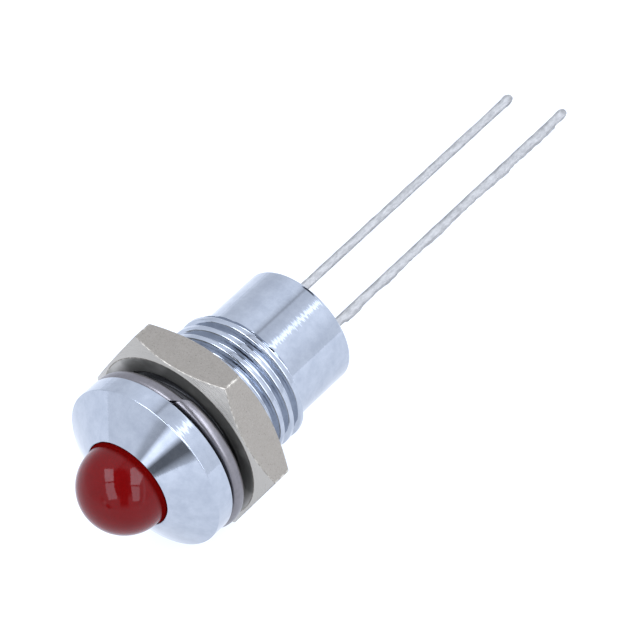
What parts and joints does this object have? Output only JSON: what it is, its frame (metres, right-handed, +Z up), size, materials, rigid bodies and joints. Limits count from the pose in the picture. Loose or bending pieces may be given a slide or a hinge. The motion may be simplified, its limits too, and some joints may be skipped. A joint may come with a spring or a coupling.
{
  "type": "led panel indicator",
  "caption": "Round panel lamp: a red domed LED in a chromed conical bezel with a threaded barrel, split lock washer, hex nut and two bare leads.",
  "frame": {"origin": "centre of the rim's back face, where the bezel seats on the panel, on the barrel's axis", "axes": "+Y along the barrel from the dome to the leads, +Z up from the nut flat that the part lies on, +X to the right seen from the dome"},
  "size_m": [0.0118, 0.0379, 0.0104],
  "materials": {
    "bezel_chrome": "bright chrome plate over fine turning marks",
    "red_epoxy": "gloss, diffused red casting resin",
    "tinned_lead": "solder-dipped, satin",
    "die": "sawn semiconductor chip",
    "bond_gold": "bright drawn gold wire",
    "potting": "black potting resin, semi-matt with a meniscus",
    "spring_steel": "dull plated spring steel",
    "nut_nickel": "matt nickel plate with a bright turned face"
  },
  "bodies": {
    "root": {"bezel_body": "bezel_chrome", "led_lens": "red_epoxy", "cathode_lead": "tinned_lead", "anode_lead": "tinned_lead", "led_die": "die", "bond_wire": "bond_gold", "rear_potting": "potting", "lock_washer": "spring_steel", "hex_nut": "nut_nickel"}
  },
  "joints": []
}
